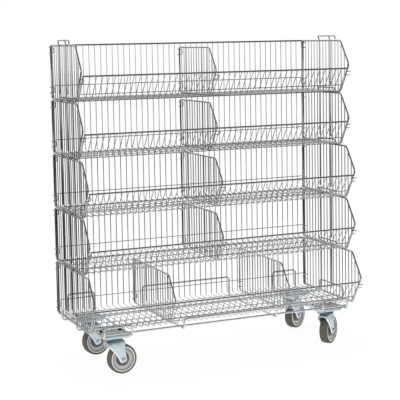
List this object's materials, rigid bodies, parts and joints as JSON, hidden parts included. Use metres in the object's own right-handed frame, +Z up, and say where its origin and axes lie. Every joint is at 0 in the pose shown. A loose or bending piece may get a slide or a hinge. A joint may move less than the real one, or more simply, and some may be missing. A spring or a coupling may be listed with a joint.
{
  "type": "retail dump bin",
  "caption": "Wheeled wire dump bin: open-fronted wire baskets with dividers, stacked on a chrome rod dolly with swivel castors.",
  "frame": {"origin": "on the floor, below the centre of the bin's overall box", "axes": "+Z up, +X to the right seen from the front, +Y towards the back"},
  "size_m": [1.035, 0.425, 1.1175],
  "materials": {
    "zinc_wire": "bright zinc-plated wire",
    "chrome_rod": "bright chrome-plated rod",
    "zinc_plate": "zinc-plated sheet",
    "castor_steel": "bluish zinc-plated pressed steel",
    "dark_bolt": "blackened steel",
    "tyre_rubber": "dark grey rubber",
    "hub_plastic": "grey moulded plastic"
  },
  "bodies": {
    "dolly": {"dolly_left_long_loop": "chrome_rod", "dolly_middle_long_loop": "chrome_rod", "dolly_right_long_loop": "chrome_rod", "dolly_cross_loop": "chrome_rod", "dolly_front_rod": "chrome_rod", "castor_mounting_plates": "zinc_plate", "castor_top_plates": "castor_steel", "castor_plate_bolts": "dark_bolt"},
    "basket_5": {"tier_5_wire_mesh": "zinc_wire", "tier_5_cross_wires": "zinc_wire", "tier_5_left_side_panel": "zinc_wire", "tier_5_right_side_panel": "zinc_wire", "tier_5_stacking_hooks": "zinc_wire", "tier_5_corner_clips": "zinc_wire", "tier_5_left_divider": "zinc_wire", "tier_5_right_divider": "zinc_wire"},
    "basket_4": {"tier_4_wire_mesh": "zinc_wire", "tier_4_cross_wires": "zinc_wire", "tier_4_left_side_panel": "zinc_wire", "tier_4_right_side_panel": "zinc_wire", "tier_4_stacking_hooks": "zinc_wire", "tier_4_corner_clips": "zinc_wire", "tier_4_divider": "zinc_wire"},
    "basket_3": {"tier_3_wire_mesh": "zinc_wire", "tier_3_cross_wires": "zinc_wire", "tier_3_left_side_panel": "zinc_wire", "tier_3_right_side_panel": "zinc_wire", "tier_3_stacking_hooks": "zinc_wire", "tier_3_corner_clips": "zinc_wire", "tier_3_divider": "zinc_wire"},
    "basket_2": {"tier_2_wire_mesh": "zinc_wire", "tier_2_cross_wires": "zinc_wire", "tier_2_left_side_panel": "zinc_wire", "tier_2_right_side_panel": "zinc_wire", "tier_2_stacking_hooks": "zinc_wire", "tier_2_corner_clips": "zinc_wire", "tier_2_divider": "zinc_wire"},
    "basket_1": {"tier_1_wire_mesh": "zinc_wire", "tier_1_cross_wires": "zinc_wire", "tier_1_left_side_panel": "zinc_wire", "tier_1_right_side_panel": "zinc_wire", "tier_1_stacking_hooks": "zinc_wire", "tier_1_corner_clips": "zinc_wire", "tier_1_divider": "zinc_wire"},
    "front_left_swivel": {"front_left_fork": "castor_steel", "front_left_axle": "castor_steel"},
    "front_left_wheel": {"front_left_tyre": "tyre_rubber", "front_left_hub": "hub_plastic"},
    "front_right_swivel": {"front_right_fork": "castor_steel", "front_right_axle": "castor_steel"},
    "front_right_wheel": {"front_right_tyre": "tyre_rubber", "front_right_hub": "hub_plastic"},
    "back_left_swivel": {"back_left_fork": "castor_steel", "back_left_axle": "castor_steel"},
    "back_left_wheel": {"back_left_tyre": "tyre_rubber", "back_left_hub": "hub_plastic"},
    "back_right_swivel": {"back_right_fork": "castor_steel", "back_right_axle": "castor_steel"},
    "back_right_wheel": {"back_right_tyre": "tyre_rubber", "back_right_hub": "hub_plastic"}
  },
  "joints": [
    {"name": "basket_5_lift", "type": "slide", "parent": "dolly", "child": "basket_5", "axis": [0, 0, 1], "range_m": [0, 0.25]},
    {"name": "basket_4_lift", "type": "slide", "parent": "basket_5", "child": "basket_4", "axis": [0, 0, 1], "range_m": [0, 0.25]},
    {"name": "basket_3_lift", "type": "slide", "parent": "basket_4", "child": "basket_3", "axis": [0, 0, 1], "range_m": [0, 0.25]},
    {"name": "basket_2_lift", "type": "slide", "parent": "basket_3", "child": "basket_2", "axis": [0, 0, 1], "range_m": [0, 0.25]},
    {"name": "basket_1_lift", "type": "slide", "parent": "basket_2", "child": "basket_1", "axis": [0, 0, 1], "range_m": [0, 0.25]},
    {"name": "front_left_castor_swivel", "type": "hinge", "parent": "dolly", "child": "front_left_swivel", "pos_m": [-0.406, -0.11625, 0.114], "axis": [0, 0, 1], "continuous": true},
    {"name": "front_left_wheel_spin", "type": "hinge", "parent": "front_left_swivel", "child": "front_left_wheel", "pos_m": [-0.37907, -0.11437, 0.05], "axis": [-0.0698, 0.9976, 0], "continuous": true},
    {"name": "front_right_castor_swivel", "type": "hinge", "parent": "dolly", "child": "front_right_swivel", "pos_m": [0.406, -0.11625, 0.114], "axis": [0, 0, 1], "continuous": true},
    {"name": "front_right_wheel_spin", "type": "hinge", "parent": "front_right_swivel", "child": "front_right_wheel", "pos_m": [0.4277, -0.10019, 0.05], "axis": [-0.5948, 0.8039, 0], "continuous": true},
    {"name": "back_left_castor_swivel", "type": "hinge", "parent": "dolly", "child": "back_left_swivel", "pos_m": [-0.406, 0.14475, 0.114], "axis": [0, 0, 1], "continuous": true},
    {"name": "back_left_wheel_spin", "type": "hinge", "parent": "back_left_swivel", "child": "back_left_wheel", "pos_m": [-0.37933, 0.14897, 0.05], "axis": [-0.1564, 0.9877, 0], "continuous": true},
    {"name": "back_right_castor_swivel", "type": "hinge", "parent": "dolly", "child": "back_right_swivel", "pos_m": [0.406, 0.14475, 0.114], "axis": [0, 0, 1], "continuous": true},
    {"name": "back_right_wheel_spin", "type": "hinge", "parent": "back_right_swivel", "child": "back_right_wheel", "pos_m": [0.42962, 0.15784, 0.05], "axis": [-0.4848, 0.8746, 0], "continuous": true}
  ]
}
